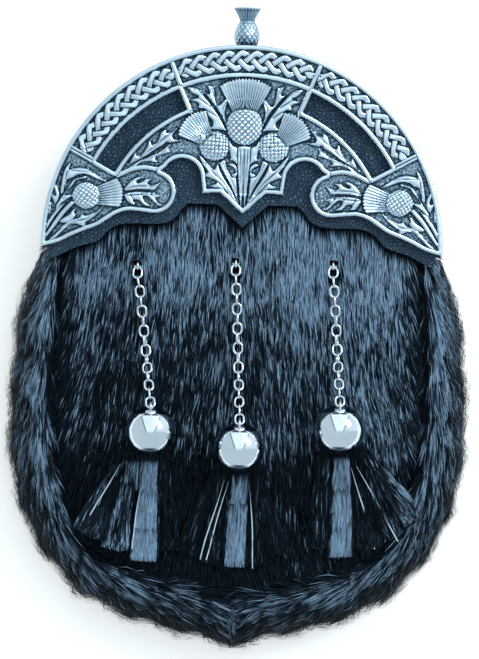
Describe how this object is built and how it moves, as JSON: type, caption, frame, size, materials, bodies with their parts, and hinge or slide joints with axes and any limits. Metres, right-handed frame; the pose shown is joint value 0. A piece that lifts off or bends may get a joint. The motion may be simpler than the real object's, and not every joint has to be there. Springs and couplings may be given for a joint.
{
  "type": "sporran pouch",
  "caption": "Dress sporran pouch lying on its back: arched cast metal top with windows, fur front and border, chains and ball-capped fur tassels.",
  "frame": {"origin": "centre of the bounding box's underside, where the pouch lies on its back", "axes": "+X to the right seen from the front, +Y towards the finial, +Z out of the front"},
  "size_m": [0.1954, 0.2712, 0.0568],
  "materials": {
    "antique_silver": "cast, darkened in the recesses",
    "bright_metal": "polished",
    "black_leather": "grained",
    "black_fur": "glossy hair"
  },
  "bodies": {
    "root": {"cantle": "antique_silver", "finial": "antique_silver", "leather_apron": "black_leather", "top_band": "black_leather", "back_panel": "black_leather", "belt_loop_left": "black_leather", "belt_loop_right": "black_leather", "front_panel": "black_fur", "fur_border": "black_fur", "chain_left": "bright_metal", "chain_centre": "bright_metal", "chain_right": "bright_metal", "bell_left": "bright_metal", "bell_centre": "bright_metal", "bell_right": "bright_metal", "tassel_left": "black_fur", "tassel_centre": "black_fur", "tassel_right": "black_fur"}
  },
  "joints": []
}
